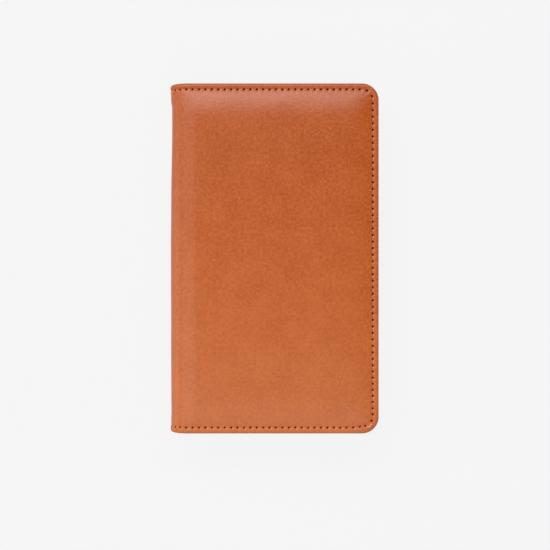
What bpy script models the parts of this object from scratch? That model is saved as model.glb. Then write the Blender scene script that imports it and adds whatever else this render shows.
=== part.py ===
"""Compact ring binder, closed and lying on its back cover.

Two padded leather covers and a leather spine fold round a six-ring mechanism. X runs from the spine to the
fore-edge, Y along the spine, and Z from the back cover, at zero, up to the front cover. Lengths are in metres.
"""

import math

import bmesh
import bpy
from mathutils import Matrix, Vector

# Leather case
COVER_WIDTH = 0.1132  # spine face to fore-edge
COVER_HEIGHT = 0.190
CORNER_RADIUS = 0.0087  # at the fore-edge
SKIN = 0.0008
GLUE = 0.0003  # glue line between two layers
PAD = 0.0014  # foam at full height
PAD_EDGE = 0.0003  # foam at its thin edge
PAD_FOOT = 0.0042  # cover edge to where the leather starts to rise
PAD_HINGE = 0.0008  # board's hinge edge to where the leather starts to rise
PAD_SLOPE = 0.014  # width of that rise
PAD_CORNER = 0.003  # least corner radius of the padded field
BOARD = 0.0014
LINING = 0.0005
LINING_INSET = 0.0025
LINING_REST = 0.001  # lining laid on the leather beside the spine's round
TURN_IN = 0.012  # leather folded over the board's inner face
EDGE_ROUND = 0.001
SPINE_RADIUS = 0.0075
HINGE_GUTTER = 0.0049  # plain leather between the spine's round and the board
STIFFENER = 0.0015
STIFFENER_LAP = 0.0007  # stiffener past the flat of the spine
SPLIT_GAP = 0.0003  # along each hinge line

# Pockets sewn on the linings
POCKET = 0.0005
POCKET_MARGIN = 0.0055  # to the cover's edge
POCKET_CLEARANCE = 0.005  # to the rings
CARD_POCKET_HEIGHT = 0.070  # the lowest of the three
CARD_POCKET_STEP = 0.014
SLIP_POCKET_HEIGHT = 0.120

# Ring mechanism
RING_INSIDE = 0.011
RING_WIRE = 0.002
RING_PITCH = 0.01905
RING_GROUP_GAP = 0.0508  # between the two groups of three
RING_TIP_GAP = 0.0003
RING_OPEN = math.radians(15)
RING_CLEARANCE = 0.0005  # opened rings to the linings
FOOT_SETBACK = 0.0023  # ring foot to the blade's pivot edge
FIT = 0.0003  # between metal pieces
BLADE = 0.0008
BLADE_MEET = 0.0004  # between the two blades
BLADE_PIVOT_RISE = 0.0023
HOUSING_WIDTH = 0.014
HOUSING_SHEET = 0.0007
HOUSING_LIP = 0.0007
HOUSING_RISE = 0.0048  # at the crown
HOUSING_SHOULDER = 0.0034
HOUSING_OVERHANG = 0.0125  # past the last ring
NOTCH_CLEARANCE = 0.0005
RIVET_SHANK = 0.0024
RIVET_HEAD = 0.0048
RIVET_HEAD_RISE = 0.0009
RIVET_FOOT = 0.0044
RIVET_FOOT_SHEET = 0.0006
LEVER_PIN = 0.0012
LEVER_PIN_RISE = 0.002
LEVER_PIN_SETBACK = 0.0018  # from the housing's end
LEVER_BARREL = 0.0032
LEVER_BARREL_WIDTH = 0.009
LEVER_WIDTH = 0.010
LEVER_LENGTH = 0.0105
LEVER_SHEET = 0.001
LEVER_CORNER = 0.003
LEVER_REST = math.radians(35)
LEVER_OPEN = math.radians(20)
TOE_WIDTH = 0.0016
TOE_SHEET = 0.0005
CUT_PAST = 0.001  # how far a cutter runs past what it cuts

# Smoothness
SLOPE_STEPS = 4
CORNER_STEPS = 5
EDGE_STEPS = 3
ROUND_STEPS = 5
RING_STEPS = 14
ROD_SIDES = 16

# Layers of a cover, measured inwards from its outermost face
EDGE_DROP = PAD + GLUE
PAD_FLOOR = SKIN + GLUE + PAD
BOARD_TOP = PAD_FLOOR + GLUE
BOARD_FLOOR = BOARD_TOP + BOARD
INFILL_TOP = BOARD_FLOOR + GLUE
INFILL_FLOOR = INFILL_TOP + SKIN
LINING_TOP = INFILL_FLOOR + GLUE
LINING_FLOOR = LINING_TOP + LINING
HINGE_LINING = EDGE_DROP + SKIN + GLUE

# Mechanism, as rise above its seat and offset from the binder's middle plane
RING_RADIUS = (RING_INSIDE + RING_WIRE) / 2
PIVOT_OFFSET = HOUSING_WIDTH / 2 - HOUSING_SHEET - FIT
BLADE_TILT = RING_OPEN / 2
FOOT_OFFSET = PIVOT_OFFSET - FOOT_SETBACK
FOOT_RISE = BLADE_PIVOT_RISE - FOOT_SETBACK * math.tan(BLADE_TILT) + BLADE / 2 / math.cos(BLADE_TILT) + FIT
RING_CENTRE_RISE = FOOT_RISE + math.sqrt(RING_RADIUS**2 - FOOT_OFFSET**2)
OPEN_REACH = (
    PIVOT_OFFSET * (1 - math.cos(RING_OPEN))
    + (RING_CENTRE_RISE - BLADE_PIVOT_RISE) * math.sin(RING_OPEN)
    + RING_RADIUS
    + RING_WIRE / 2
)

# Whole binder
THICKNESS = 2 * (LINING_FLOOR + OPEN_REACH + RING_CLEARANCE)
MIDDLE = THICKNESS / 2
SPINE_FACE = -COVER_WIDTH / 2
FORE_EDGE = COVER_WIDTH / 2
HINGE_LINE = SPINE_FACE + SPINE_RADIUS + HINGE_GUTTER
ROUND_CENTRE = SPINE_FACE + SPINE_RADIUS
ROUND_OFFSET = MIDDLE - EDGE_DROP - SPINE_RADIUS
SPINE_LINING_FACE = SPINE_FACE + SKIN + GLUE + STIFFENER + GLUE
SEAT = SPINE_LINING_FACE + LINING + GLUE
HALF_TURN = math.radians(45) - SPLIT_GAP / 2 / SPINE_RADIUS

# Places along the spine
RING_ROWS = [side * (RING_GROUP_GAP / 2 + i * RING_PITCH) for side in (-1, 1) for i in range(3)]
LAST_RING = RING_GROUP_GAP / 2 + 2 * RING_PITCH
RIVET_ROW = LAST_RING - RING_PITCH / 2
HOUSING_END = LAST_RING + HOUSING_OVERHANG
LEVER_ROW = HOUSING_END - LEVER_PIN_SETBACK
BLADE_END = LEVER_ROW - LEVER_BARREL / 2 - 2 * FIT

# Joint axes, each the origin of the body that turns on it
FOLD = SPINE_RADIUS * (1 - math.cos(math.radians(45)))
BODY_ORIGINS = {
    "back_cover": Vector((0, 0, 0)),
    "spine": Vector((SPINE_FACE + FOLD, 0, EDGE_DROP + FOLD)),
    "front_cover": Vector((SPINE_FACE + FOLD, 0, THICKNESS - EDGE_DROP - FOLD)),
    "front_ring_blade": Vector((SEAT + BLADE_PIVOT_RISE, 0, MIDDLE + PIVOT_OFFSET)),
    "back_ring_blade": Vector((SEAT + BLADE_PIVOT_RISE, 0, MIDDLE - PIVOT_OFFSET)),
    "top_lever": Vector((SEAT + LEVER_PIN_RISE, LEVER_ROW, MIDDLE)),
    "bottom_lever": Vector((SEAT + LEVER_PIN_RISE, -LEVER_ROW, MIDDLE)),
}
BODY_PARENTS = {
    "spine": "back_cover",
    "front_cover": "spine",
    "front_ring_blade": "spine",
    "back_ring_blade": "spine",
    "top_lever": "spine",
    "bottom_lever": "spine",
}

# Colour, roughness and metallic value of each material
LOOKS = {
    "tan_leather": ((0.527, 0.130, 0.040), 0.45, 0.0),
    "lining_leather": ((0.400, 0.105, 0.035), 0.6, 0.0),
    "foam": ((0.75, 0.72, 0.62), 0.95, 0.0),
    "board": ((0.34, 0.30, 0.24), 0.9, 0.0),
    "nickel": ((0.72, 0.71, 0.69), 0.22, 1.0),
}


def make_materials():
    """One Principled material for each entry of LOOKS."""
    materials = {}
    for name, (colour, roughness, metallic) in LOOKS.items():
        material = bpy.data.materials.new(name)
        material.use_nodes = True
        shader = material.node_tree.nodes["Principled BSDF"]
        shader.inputs["Base Color"].default_value = (*colour, 1)
        shader.inputs["Roughness"].default_value = roughness
        shader.inputs["Metallic"].default_value = metallic
        materials[name] = material
    return materials


def make_bodies(collection):
    """An empty on each joint axis, parented as the bodies hang on one another."""
    bodies = {}
    for name, origin in BODY_ORIGINS.items():
        empty = bpy.data.objects.new(name + "_body", None)
        empty.empty_display_size = RING_INSIDE
        collection.objects.link(empty)
        parent = BODY_PARENTS.get(name)
        empty.parent = bodies.get(parent)
        empty.location = origin - BODY_ORIGINS[parent] if parent else origin
        bodies[name] = empty
    return bodies


class Binder:
    """The collections, bodies and materials that the sub-parts are added to."""

    def __init__(self):
        for old in list(bpy.data.objects):
            bpy.data.objects.remove(old)
        scene = bpy.context.scene.collection
        self.parts = bpy.data.collections.new("compact_ring_binder")
        self.cutters = bpy.data.collections.new("cutters")
        scene.children.link(self.parts)
        scene.children.link(self.cutters)
        self.bodies = make_bodies(self.parts)
        self.materials = make_materials()

    def hang(self, name, mesh, body, look, location=(0, 0, 0)):
        """A sub-part of a body, with its mesh and location measured from the body's joint axis."""
        if not mesh.materials:
            mesh.materials.append(self.materials[look])
        mesh.shade_smooth()
        mesh.set_sharp_from_angle(angle=math.radians(30))
        part = bpy.data.objects.new(name, mesh)
        part.parent = self.bodies[body]
        part.location = location
        self.parts.objects.link(part)
        return part

    def add(self, name, bm, body, look):
        """A sub-part whose mesh is given in the binder's own coordinates."""
        bmesh.ops.translate(bm, vec=-BODY_ORIGINS[body], verts=bm.verts)
        return self.hang(name, finished(name, bm), body, look)

    def cut(self, part, bm):
        """Takes the closed bodies of a mesh, in the binder's coordinates, out of a part."""
        cutter = bpy.data.objects.new(part.name + "_cutter", finished(part.name + "_cutter", bm))
        cutter.hide_render = True
        cutter.display_type = "WIRE"
        self.cutters.objects.link(cutter)
        boolean = part.modifiers.new("cut", "BOOLEAN")
        boolean.operation = "DIFFERENCE"
        boolean.solver = "EXACT"
        boolean.object = cutter


def finished(name, bm):
    """The mesh of a bmesh, which is freed."""
    mesh = bpy.data.meshes.new(name)
    bm.to_mesh(mesh)
    bm.free()
    return mesh


def verts_of(geometry):
    return [item for item in geometry if isinstance(item, bmesh.types.BMVert)]


def edges_of(geometry):
    return [item for item in geometry if isinstance(item, bmesh.types.BMEdge)]


def box(bm, low, high):
    """A block between two corners."""
    low, high = Vector(low), Vector(high)
    place = Matrix.Translation((low + high) / 2) @ Matrix.Diagonal((*(high - low), 1))
    bmesh.ops.create_cube(bm, size=1, matrix=place)


def rod(bm, start, end, radius):
    """A round bar between two points."""
    start, end = Vector(start), Vector(end)
    turn = (end - start).to_track_quat("Z", "Y").to_matrix().to_4x4()
    bmesh.ops.create_cone(
        bm,
        cap_ends=True,
        segments=ROD_SIDES,
        radius1=radius,
        radius2=radius,
        depth=(end - start).length,
        matrix=Matrix.Translation((start + end) / 2) @ turn,
    )


def slab(bm, outline, low, high):
    """A flat outline in X and Y, raised from one height to another."""
    face = bm.faces.new([bm.verts.new((x, y, low)) for x, y in outline])
    raised = bmesh.ops.extrude_face_region(bm, geom=[face])["geom"]
    bmesh.ops.translate(bm, vec=(0, 0, high - low), verts=verts_of(raised))
    bmesh.ops.recalc_face_normals(bm, faces=bm.faces)


def rounded(left, right, half_height, left_radius, right_radius):
    """A rectangle's outline, counterclockwise from its lower right corner, with rounded corners."""
    outline = []
    for corner, (side, end) in enumerate(((1, -1), (1, 1), (-1, 1), (-1, -1))):
        radius = right_radius if side > 0 else left_radius
        x = (right if side > 0 else left) - side * radius
        y = end * (half_height - radius)
        for step in range(CORNER_STEPS + 1):
            angle = math.radians(90) * (corner - 1 + step / CORNER_STEPS)
            outline.append((x + radius * math.cos(angle), y + radius * math.sin(angle)))
    return outline


def field(inset, left):
    """A cover's outline drawn in by an inset, with its hinge side at a given place and nearly square there."""
    right_radius = max(CORNER_RADIUS - inset, PAD_CORNER)
    return rounded(left, FORE_EDGE - inset, COVER_HEIGHT / 2 - inset, GLUE, right_radius)


def padded(rise):
    """The outline of the padded field where the leather has made a given share of its rise, 0 at the seam."""
    inset = PAD_FOOT + rise * PAD_SLOPE
    radius = max(CORNER_RADIUS - inset, PAD_CORNER)
    left = HINGE_LINE + PAD_HINGE + rise * PAD_SLOPE
    return rounded(left, FORE_EDGE - inset, COVER_HEIGHT / 2 - inset, PAD_CORNER, radius)


def drop(rise):
    """Depth of the leather below its crown: a parabola that flattens out as it reaches full height."""
    return EDGE_DROP * (1 - rise) ** 2


def edge_section():
    """Inset and depth of the leather's rounded edge, from the flat beside the seam to its side wall."""
    section = []
    for step in range(EDGE_STEPS + 1):
        angle = math.radians(90) * step / EDGE_STEPS
        section.append((EDGE_ROUND * (1 - math.sin(angle)), EDGE_ROUND * (1 - math.cos(angle))))
    return section


def loft(bm, loops):
    """Strips of quads between nested loops, from the innermost loop outwards."""
    rings = [[bm.verts.new(point) for point in loop] for loop in loops]
    for inner, outer in zip(rings, rings[1:]):
        for i in range(len(inner)):
            j = (i + 1) % len(inner)
            bm.faces.new((inner[i], outer[i], outer[j], inner[j]))
    return rings


def at_depth(outline, depth):
    """An outline on the front cover at a depth below its crown."""
    return [(x, y, THICKNESS - depth) for x, y in outline]


def split(bm, place, clear):
    """Cuts the faces along a plane across X, and drops what lies on the spine's side of it if asked."""
    everything = bm.verts[:] + bm.edges[:] + bm.faces[:]
    bmesh.ops.bisect_plane(
        bm, geom=everything, plane_co=(place, 0, 0), plane_no=(1, 0, 0), clear_inner=clear
    )


def edges_at(bm, place):
    """The open edges that lie in a plane across X."""
    tolerance = GLUE / 100
    return [
        edge
        for edge in bm.edges
        if edge.is_boundary and all(abs(vert.co.x - place) < tolerance for vert in edge.verts)
    ]


def push(bm, edges, step):
    """Extends a sheet from its edges by one straight step, and returns the new edges."""
    new = bmesh.ops.extrude_edge_only(bm, edges=edges)["geom"]
    bmesh.ops.translate(bm, vec=step, verts=verts_of(new))
    return edges_of(new)


def bend(bm, edges, side, angle):
    """Carries a sheet's edges round the spine's front (1) or back (-1) corner, and returns the new edges."""
    centre = (ROUND_CENTRE, 0, MIDDLE + side * ROUND_OFFSET)
    new = bmesh.ops.spin(
        bm, geom=edges, cent=centre, axis=(0, -1, 0), angle=angle, steps=ROUND_STEPS, use_duplicate=False
    )
    return edges_of(new["geom_last"])


def sheet_out(bm, outward):
    """Turns a sheet's faces one way, so that the face farthest along a direction looks along it."""
    bmesh.ops.remove_doubles(bm, verts=bm.verts, dist=GLUE / 1000)
    bmesh.ops.recalc_face_normals(bm, faces=bm.faces)
    outward = Vector(outward)
    outermost = max(bm.faces, key=lambda face: face.calc_center_median().dot(outward) + face.calc_area())
    if outermost.normal.dot(outward) < 0:
        bmesh.ops.reverse_faces(bm, faces=bm.faces)


def thicken(part, thickness):
    """Gives a sheet its thickness on its inner side."""
    solid = part.modifiers.new("thickness", "SOLIDIFY")
    solid.thickness = thickness
    solid.offset = -1
    solid.use_even_offset = True


def turned_over(bm):
    """Turns a mesh made for the front cover into the back cover's."""
    mirror = Matrix.Translation((0, 0, THICKNESS)) @ Matrix.Diagonal((1, 1, -1, 1))
    bmesh.ops.transform(bm, matrix=mirror, verts=bm.verts)
    bmesh.ops.reverse_faces(bm, faces=bm.faces)


def cover_leather(bm):
    """Leather over the pad, round the board's edge and turned in, and on past the hinge to the spine's corner."""
    away = SPINE_FACE - COVER_WIDTH
    loops = []
    for step in range(SLOPE_STEPS, -1, -1):
        rise = step / SLOPE_STEPS
        loops.append(at_depth(padded(rise), drop(rise)))
    for inset, depth in edge_section():
        loops.append(at_depth(field(inset, away), EDGE_DROP + depth))
    for inset, depth in reversed(edge_section()):
        loops.append(at_depth(field(inset, away), INFILL_FLOOR - depth))
    loops.append(at_depth(field(TURN_IN, away), INFILL_FLOOR))
    rings = loft(bm, loops)
    bm.faces.new(rings[0])
    split(bm, ROUND_CENTRE, True)
    split(bm, HINGE_LINE, False)
    hem = THICKNESS - EDGE_DROP - EDGE_ROUND - GLUE / 100
    beside_board = [
        face
        for face in bm.faces
        if face.calc_center_median().x < HINGE_LINE and face.calc_center_median().z < hem
    ]
    bmesh.ops.delete(bm, geom=beside_board, context="FACES")
    bend(bm, edges_at(bm, ROUND_CENTRE), 1, HALF_TURN)
    sheet_out(bm, (0, 0, 1))


def cover_pad(bm):
    """Foam under the leather: flat on the board, crowned above, thin at its edge."""
    thin = (PAD - PAD_EDGE) / EDGE_DROP
    start = 1 - math.sqrt(thin)
    floor = at_depth(padded(start), PAD_FLOOR)
    loops = [floor]
    for step in range(SLOPE_STEPS + 1):
        rise = start + (1 - start) * step / SLOPE_STEPS
        loops.append(at_depth(padded(rise), drop(rise) + SKIN + GLUE))
    rings = loft(bm, loops[::-1])
    bm.faces.new(rings[0])
    bm.faces.new(rings[-1][::-1])


def cover_lining(bm):
    """Lining laid over board and turn-ins, falling to the leather at the hinge and round to the spine's corner."""
    outline = field(LINING_INSET, HINGE_LINE - GLUE)
    bm.faces.new([bm.verts.new(point) for point in at_depth(outline, LINING_TOP)])
    split(bm, HINGE_LINE, True)
    fall = (ROUND_CENTRE + LINING_REST - HINGE_LINE + GLUE, 0, LINING_TOP - HINGE_LINING)
    edges = push(bm, edges_at(bm, HINGE_LINE), (-GLUE, 0, 0))
    edges = push(bm, edges, fall)
    edges = push(bm, edges, (-LINING_REST, 0, 0))
    bend(bm, edges, 1, HALF_TURN)
    sheet_out(bm, (0, 0, 1))


def cover_board(bm):
    inset = SKIN + GLUE
    slab(bm, field(inset, HINGE_LINE), THICKNESS - BOARD_FLOOR, THICKNESS - BOARD_TOP)


def infill_card(bm):
    """Card that levels the board's inner face within the leather's turn-ins."""
    slab(bm, field(TURN_IN + GLUE, HINGE_LINE), THICKNESS - INFILL_FLOOR, THICKNESS - INFILL_TOP)


def pocket_panel(bm, height, layer):
    """A pocket's panel on the front lining, open towards the head, over as many panels as its layer says."""
    ring_reach = SEAT + RING_CENTRE_RISE + RING_RADIUS + RING_WIRE / 2
    top = THICKNESS - LINING_FLOOR - GLUE - layer * (POCKET + GLUE)
    tail = POCKET_MARGIN - COVER_HEIGHT / 2
    low = (ring_reach + POCKET_CLEARANCE, tail, top - POCKET)
    box(bm, low, (FORE_EDGE - POCKET_MARGIN, tail + height, top))


def add_cover(binder, side):
    """The layers of the front or back cover."""
    body = side + "_cover"
    layers = (
        ("skin", cover_leather, "tan_leather", SKIN),
        ("pad", cover_pad, "foam", None),
        ("board", cover_board, "board", None),
        ("infill_card", infill_card, "board", None),
        ("lining", cover_lining, "lining_leather", LINING),
    )
    for name, shape, look, thickness in layers:
        bm = bmesh.new()
        shape(bm)
        if side == "back":
            turned_over(bm)
        part = binder.add(f"{side}_{name}", bm, body, look)
        if thickness:
            thicken(part, thickness)


def add_pockets(binder):
    """Three stepped card pockets in the front cover and one slip pocket in the back cover."""
    for layer, name in enumerate(("upper", "middle", "lower")):
        bm = bmesh.new()
        pocket_panel(bm, CARD_POCKET_HEIGHT + (2 - layer) * CARD_POCKET_STEP, layer)
        binder.add(f"front_card_pocket_{name}", bm, "front_cover", "lining_leather")
    bm = bmesh.new()
    pocket_panel(bm, SLIP_POCKET_HEIGHT, 0)
    turned_over(bm)
    binder.add("back_slip_pocket", bm, "back_cover", "lining_leather")


def spine_leather(bm):
    """Leather bent round both corners of the spine, with a rounded hem at head and tail."""
    turn = math.radians(90) - HALF_TURN
    head = [(COVER_HEIGHT / 2 - inset, depth) for inset, depth in reversed(edge_section())]
    section = head + [(-y, depth) for y, depth in reversed(head)]
    centre = MIDDLE + ROUND_OFFSET
    verts = []
    for y, depth in section:
        radius = SPINE_RADIUS - depth
        x = ROUND_CENTRE - radius * math.sin(turn)
        verts.append(bm.verts.new((x, y, centre + radius * math.cos(turn))))
    edges = [bm.edges.new(pair) for pair in zip(verts, verts[1:])]
    edges = bend(bm, edges, 1, HALF_TURN)
    edges = push(bm, edges, (0, 0, -2 * ROUND_OFFSET))
    bend(bm, edges, -1, HALF_TURN)
    sheet_out(bm, (-1, 0, 0))


def rivet_section(clearance):
    """Radius and rise of a rivet from its head to its foot in the stiffener, grown by a clearance."""
    under_head = HOUSING_RISE + FIT
    foot = SPINE_FACE + SKIN + GLUE - SEAT
    head = RIVET_HEAD / 2
    shank = RIVET_SHANK / 2 + clearance
    flange = RIVET_FOOT / 2 + clearance
    step = foot + RIVET_FOOT_SHEET + clearance
    crown = under_head + RIVET_HEAD_RISE
    return [
        (0, crown),
        (head * 0.7, crown - RIVET_HEAD_RISE * 0.25),
        (head, under_head + RIVET_HEAD_RISE * 0.3),
        (head, under_head),
        (shank, under_head),
        (shank, step),
        (flange, step),
        (flange, foot - clearance),
        (0, foot - clearance),
    ]


def turned(name, section):
    """A mesh turned from a section of radius and rise about an axis along X, standing on the seat."""
    bm = bmesh.new()
    verts = [bm.verts.new((rise, 0, radius)) for radius, rise in section]
    edges = [bm.edges.new(pair) for pair in zip(verts, verts[1:])]
    bmesh.ops.spin(
        bm,
        geom=verts + edges,
        cent=(0, 0, 0),
        axis=(1, 0, 0),
        angle=math.radians(360),
        steps=ROD_SIDES,
        use_duplicate=False,
        use_merge=True,
    )
    bmesh.ops.remove_doubles(bm, verts=bm.verts, dist=FIT / 1000)
    bmesh.ops.recalc_face_normals(bm, faces=bm.faces)
    return finished(name, bm)


def add_spine(binder):
    """Leather, stiffener and lining of the spine, bored for the rivets."""
    bm = bmesh.new()
    spine_leather(bm)
    thicken(binder.add("spine_skin", bm, "spine", "tan_leather"), SKIN)

    half = ROUND_OFFSET + STIFFENER_LAP
    near = SPINE_FACE + SKIN + GLUE
    end = COVER_HEIGHT / 2 - LINING_INSET
    bm = bmesh.new()
    box(bm, (near, -end, MIDDLE - half), (near + STIFFENER, end, MIDDLE + half))
    stiffener = binder.add("spine_stiffener", bm, "spine", "board")
    bores = bmesh.new()
    for row in (-RIVET_ROW, RIVET_ROW):
        bore = turned("rivet_bore", rivet_section(FIT))
        bore.transform(Matrix.Translation((SEAT, row, MIDDLE)))
        bores.from_mesh(bore)
        bpy.data.meshes.remove(bore)
    binder.cut(stiffener, bores)

    reach = ROUND_CENTRE - SPINE_LINING_FACE - LINING
    half = ROUND_OFFSET + reach - SPLIT_GAP * math.sqrt(2)
    bm = bmesh.new()
    low = (SPINE_LINING_FACE, -end, MIDDLE - half)
    box(bm, low, (SPINE_LINING_FACE + LINING, end, MIDDLE + half))
    lining = binder.add("spine_lining", bm, "spine", "lining_leather")
    bores = bmesh.new()
    for row in (-RIVET_ROW, RIVET_ROW):
        start = (SPINE_LINING_FACE - CUT_PAST, row, MIDDLE)
        rod(bores, start, (SPINE_LINING_FACE + LINING + CUT_PAST, row, MIDDLE), RIVET_SHANK / 2 + FIT)
    binder.cut(lining, bores)


def arch(radius, centre, half_width):
    """Offset and rise along an arched sheet, from one side to the other."""
    points = []
    for step in range(2 * ROUND_STEPS + 1):
        offset = half_width * (1 - step / ROUND_STEPS)
        points.append((offset, centre + math.sqrt(radius**2 - offset**2)))
    return points


def housing_section():
    """Section of the housing: an arched roof, two sides and a lip turned in under each blade."""
    half = HOUSING_WIDTH / 2
    inner = half - HOUSING_SHEET
    sag = HOUSING_RISE - HOUSING_SHOULDER
    radius = (half**2 + sag**2) / (2 * sag)
    centre = HOUSING_RISE - radius
    lip = [(inner - HOUSING_LIP, HOUSING_SHEET), (inner - HOUSING_LIP, 0)]
    outside = [(half, 0)] + arch(radius, centre, half) + [(-half, 0)]
    under = arch(radius - HOUSING_SHEET, centre, inner)
    inside = [(-offset, rise) for offset, rise in reversed(lip)]
    inside += [(-inner, HOUSING_SHEET)] + under[::-1] + [(inner, HOUSING_SHEET)] + lip
    return outside + inside


def add_housing(binder):
    """The sprung channel, notched for the rings, bored for rivets and pins and slotted for the levers."""
    bm = bmesh.new()
    outline = [(SEAT + rise, MIDDLE + offset) for offset, rise in housing_section()]
    slab(bm, outline, -HOUSING_END, HOUSING_END)
    stand = Matrix(((1, 0, 0, 0), (0, 0, -1, 0), (0, 1, 0, 0), (0, 0, 0, 1)))
    bmesh.ops.transform(bm, matrix=stand, verts=bm.verts)
    housing = binder.add("ring_housing", bm, "spine", "nickel")

    cutter = bmesh.new()
    foot_angle = math.acos(FOOT_OFFSET / RING_RADIUS)
    notch_start = (RING_RADIUS - RING_WIRE / 2) * math.cos(foot_angle) - NOTCH_CLEARANCE
    notch_end = HOUSING_WIDTH / 2 + CUT_PAST
    notch_half = RING_WIRE / 2 + NOTCH_CLEARANCE
    above = SEAT + HOUSING_RISE + CUT_PAST
    for row in RING_ROWS:
        for side in (-1, 1):
            span = sorted((MIDDLE + side * notch_start, MIDDLE + side * notch_end))
            low = (SEAT + BLADE_PIVOT_RISE, row - notch_half, span[0])
            box(cutter, low, (above, row + notch_half, span[1]))
    for row in (-RIVET_ROW, RIVET_ROW):
        rod(cutter, (SEAT + HOUSING_SHOULDER, row, MIDDLE), (above, row, MIDDLE), RIVET_SHANK / 2 + FIT)
    side = HOUSING_WIDTH / 2 + CUT_PAST
    slot_half = LEVER_WIDTH / 2 + FIT
    for end in (-1, 1):
        pin = Vector((SEAT + LEVER_PIN_RISE, end * LEVER_ROW, MIDDLE))
        for face in (-1, 1):
            inner = pin + Vector((0, 0, face * (slot_half + FIT)))
            rod(cutter, inner, pin + Vector((0, 0, face * side)), LEVER_PIN / 2 + FIT)
        rows = sorted((end * (BLADE_END + FIT), end * (HOUSING_END + CUT_PAST)))
        low = (SEAT + LEVER_PIN_RISE, rows[0], MIDDLE - slot_half)
        box(cutter, low, (above, rows[1], MIDDLE + slot_half))
    binder.cut(housing, cutter)


def add_rivets(binder):
    for name, row in (("top", RIVET_ROW), ("bottom", -RIVET_ROW)):
        mesh = turned(f"rivet_{name}", rivet_section(0))
        place = Vector((SEAT, row, MIDDLE)) - BODY_ORIGINS["spine"]
        binder.hang(f"rivet_{name}", mesh, "spine", "nickel", place)


def half_ring_mesh(side):
    """Half of a ring, measured from its blade's pivot: a bent wire whose foot is cut parallel to the blade."""
    curve = bpy.data.curves.new("half_ring", "CURVE")
    curve.dimensions = "3D"
    curve.bevel_depth = RING_WIRE / 2
    curve.bevel_resolution = 2
    curve.use_fill_caps = True
    spline = curve.splines.new("POLY")
    spline.points.add(RING_STEPS)
    tip = math.radians(90) - RING_TIP_GAP / 2 / RING_RADIUS
    foot = -math.acos(FOOT_OFFSET / RING_RADIUS)
    for step, point in enumerate(spline.points):
        angle = tip + (foot - tip) * step / RING_STEPS
        rise = RING_CENTRE_RISE - BLADE_PIVOT_RISE + RING_RADIUS * math.sin(angle)
        point.co = (rise, 0, side * (RING_RADIUS * math.cos(angle) - PIVOT_OFFSET), 1)
    wire = bpy.data.objects.new("half_ring", curve)
    bpy.context.scene.collection.objects.link(wire)
    evaluated = wire.evaluated_get(bpy.context.evaluated_depsgraph_get())
    bm = bmesh.new()
    bm.from_mesh(bpy.data.meshes.new_from_object(evaluated))
    bpy.data.objects.remove(wire)
    bmesh.ops.remove_doubles(bm, verts=bm.verts, dist=FIT / 100)
    normal = Vector((math.cos(BLADE_TILT), 0, -side * math.sin(BLADE_TILT)))
    cut = bmesh.ops.bisect_plane(
        bm,
        geom=bm.verts[:] + bm.edges[:] + bm.faces[:],
        plane_co=normal * (BLADE / 2 + FIT),
        plane_no=normal,
        clear_inner=True,
    )
    bmesh.ops.edgeloop_fill(bm, edges=edges_of(cut["geom_cut"]))
    bmesh.ops.recalc_face_normals(bm, faces=bm.faces)
    return finished("half_ring", bm)


def add_ring_blade(binder, name, side):
    """A blade hinged at its outer edge, with its six half rings."""
    body = name + "_ring_blade"
    bm = bmesh.new()
    depth = PIVOT_OFFSET - BLADE_MEET / 2
    span = sorted((0, -side * depth))
    box(bm, (-BLADE / 2, -BLADE_END, span[0]), (BLADE / 2, BLADE_END, span[1]))
    turn = Matrix.Rotation(side * BLADE_TILT, 4, "Y")
    bmesh.ops.transform(bm, matrix=Matrix.Translation(BODY_ORIGINS[body]) @ turn, verts=bm.verts)
    blade = binder.add(f"{name}_blade", bm, body, "nickel")
    cutter = bmesh.new()
    for row in (-RIVET_ROW, RIVET_ROW):
        radius = RIVET_SHANK / 2 + 2 * FIT
        rod(cutter, (SEAT, row, MIDDLE), (SEAT + HOUSING_RISE, row, MIDDLE), radius)
    binder.cut(blade, cutter)
    mesh = half_ring_mesh(side)
    for number, row in enumerate(RING_ROWS, 1):
        binder.hang(f"{name}_half_ring_{number}", mesh, body, "nickel", (0, row, 0))


def toe_length():
    """Length of a lever's toe that, pressed fully, ends one clearance short of the raised blades."""
    raised = (
        BLADE_PIVOT_RISE
        + (PIVOT_OFFSET - TOE_WIDTH / 2) * math.tan(BLADE_TILT)
        - BLADE / 2 / math.cos(BLADE_TILT)
        - FIT
    )
    below_pin = LEVER_PIN_RISE - toe_rise()
    return (raised - LEVER_PIN_RISE + below_pin * math.cos(LEVER_OPEN)) / math.sin(LEVER_OPEN)


def toe_rise():
    """Rise of the toe's upper face at rest, one clearance below the lowered blades."""
    depth = PIVOT_OFFSET - BLADE_MEET / 2
    return BLADE_PIVOT_RISE - depth * math.sin(BLADE_TILT) - BLADE / 2 * math.cos(BLADE_TILT) - FIT


def lever_pieces():
    """Tab, barrel and toe of a lever, measured from its pin, with the tab pointing along +Y."""
    along = (math.sin(LEVER_REST), math.cos(LEVER_REST), 0)
    across = (0, 0, 1)
    normal = (math.cos(LEVER_REST), -math.sin(LEVER_REST), 0)
    turn = Matrix((along, across, normal)).transposed().to_4x4()
    tab, barrel, toe = bmesh.new(), bmesh.new(), bmesh.new()
    outline = rounded(0, LEVER_LENGTH, LEVER_WIDTH / 2, FIT, LEVER_CORNER)
    slab(tab, outline, -LEVER_SHEET / 2, LEVER_SHEET / 2)
    bmesh.ops.transform(tab, matrix=turn, verts=tab.verts)
    half = LEVER_BARREL_WIDTH / 2
    rod(barrel, (0, 0, -half), (0, 0, half), LEVER_BARREL / 2)
    top = toe_rise() - LEVER_PIN_RISE
    box(toe, (top - TOE_SHEET, -toe_length(), -TOE_WIDTH / 2), (top, 0, TOE_WIDTH / 2))
    return tab, barrel, toe


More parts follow.
